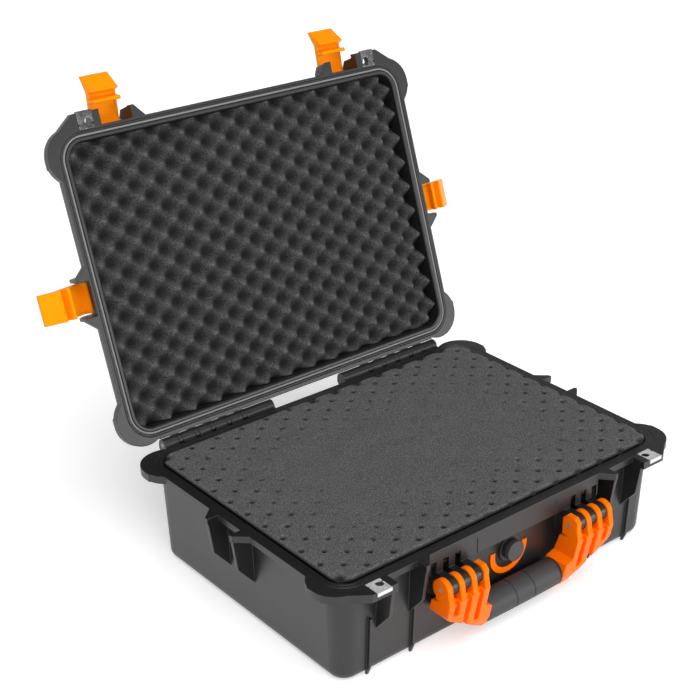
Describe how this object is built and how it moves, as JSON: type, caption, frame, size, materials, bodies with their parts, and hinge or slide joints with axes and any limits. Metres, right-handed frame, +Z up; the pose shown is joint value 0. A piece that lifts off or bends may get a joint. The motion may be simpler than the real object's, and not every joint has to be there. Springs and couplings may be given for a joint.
{
  "type": "laptop hard case",
  "caption": "Shell case for a laptop lying open, with egg-crate foam in the lid, a foam-filled base, swing latches, a folding carry handle and a pressure valve.",
  "frame": {"origin": "centre of the flat underside of the base", "axes": "+X to the right seen from the front, +Y to the hinge side at the back, +Z up"},
  "size_m": [0.5825, 0.5467, 0.4942],
  "materials": {
    "base_plastic": "fine moulded grain, black",
    "lid_plastic": "fine moulded grain, black",
    "base_foam": "open-cell foam, dark grey",
    "lid_foam": "open-cell foam, dark grey",
    "gasket": "soft grey seal",
    "gasket_dark": "soft black seal",
    "grip_rubber": "soft black rubber",
    "orange_plastic": "satin orange",
    "orange_mark": "satin orange",
    "dark_plastic": "fine grain, black",
    "bright_steel": "polished",
    "pin_steel": "drawn"
  },
  "bodies": {
    "base": {"base_shell": "base_plastic", "base_foam_top": "base_foam", "base_foam_core": "base_foam", "base_foam_floor": "base_foam", "lock_plate_left": "bright_steel", "lock_plate_right": "bright_steel", "hinge_pin_left": "pin_steel", "hinge_pin_right": "pin_steel", "handle_pin_left": "pin_steel", "handle_pin_right": "pin_steel", "valve_body": "dark_plastic", "valve_nut": "dark_plastic", "valve_arc": "orange_mark"},
    "lid": {"lid_shell": "lid_plastic", "lid_foam": "lid_foam", "lid_gasket": "gasket", "lid_plate_left": "bright_steel", "lid_plate_right": "bright_steel", "latch_pin_front_left": "pin_steel", "latch_pin_front_right": "pin_steel", "latch_pin_side_left": "pin_steel", "latch_pin_side_right": "pin_steel"},
    "latch_front_left": {"latch_front_left": "orange_plastic"},
    "latch_front_right": {"latch_front_right": "orange_plastic"},
    "latch_side_left": {"latch_side_left": "orange_plastic"},
    "latch_side_right": {"latch_side_right": "orange_plastic"},
    "handle": {"handle_frame": "orange_plastic", "handle_grip": "grip_rubber", "handle_collar_left": "dark_plastic", "handle_collar_right": "dark_plastic"},
    "valve_seal": {"valve_seal": "gasket_dark"},
    "valve_knob": {"valve_knob": "dark_plastic"}
  },
  "joints": [
    {"name": "lid_hinge", "type": "hinge", "parent": "base", "child": "lid", "pos_m": [0, 0.181, 0.12], "axis": [1, 0, 0], "range_deg": [0, 109.1]},
    {"name": "latch_front_left_swing", "type": "hinge", "parent": "lid", "child": "latch_front_left", "pos_m": [-0.157, 0.31295, 0.44205], "axis": [1, 0, 0], "range_deg": [-15, 78]},
    {"name": "latch_side_left_swing", "type": "hinge", "parent": "lid", "child": "latch_side_left", "pos_m": [-0.232, 0.25735, 0.28151], "axis": [0, 0.3272, 0.9449], "range_deg": [-25.7, 67.3]},
    {"name": "latch_front_right_swing", "type": "hinge", "parent": "lid", "child": "latch_front_right", "pos_m": [0.157, 0.31295, 0.44205], "axis": [1, 0, 0], "range_deg": [-9, 84]},
    {"name": "latch_side_right_swing", "type": "hinge", "parent": "lid", "child": "latch_side_right", "pos_m": [0.232, 0.25735, 0.28151], "axis": [0, -0.3272, -0.9449], "range_deg": [-18.3, 74.7]},
    {"name": "handle_swing", "type": "hinge", "parent": "base", "child": "handle", "pos_m": [0, -0.185, 0.084], "axis": [-1, 0, 0], "range_deg": [0, 106]},
    {"name": "valve_lift", "type": "slide", "parent": "base", "child": "valve_seal", "axis": [0, -1, 0], "range_m": [0, 0.0015]},
    {"name": "valve_turn", "type": "hinge", "parent": "valve_seal", "child": "valve_knob", "pos_m": [0, -0.168, 0.0725], "axis": [0, -1, 0], "range_deg": [0, 270]}
  ],
  "couplings": [
    {"joint": "valve_lift", "follows": "valve_turn", "m_per_rad": 0.000318}
  ]
}
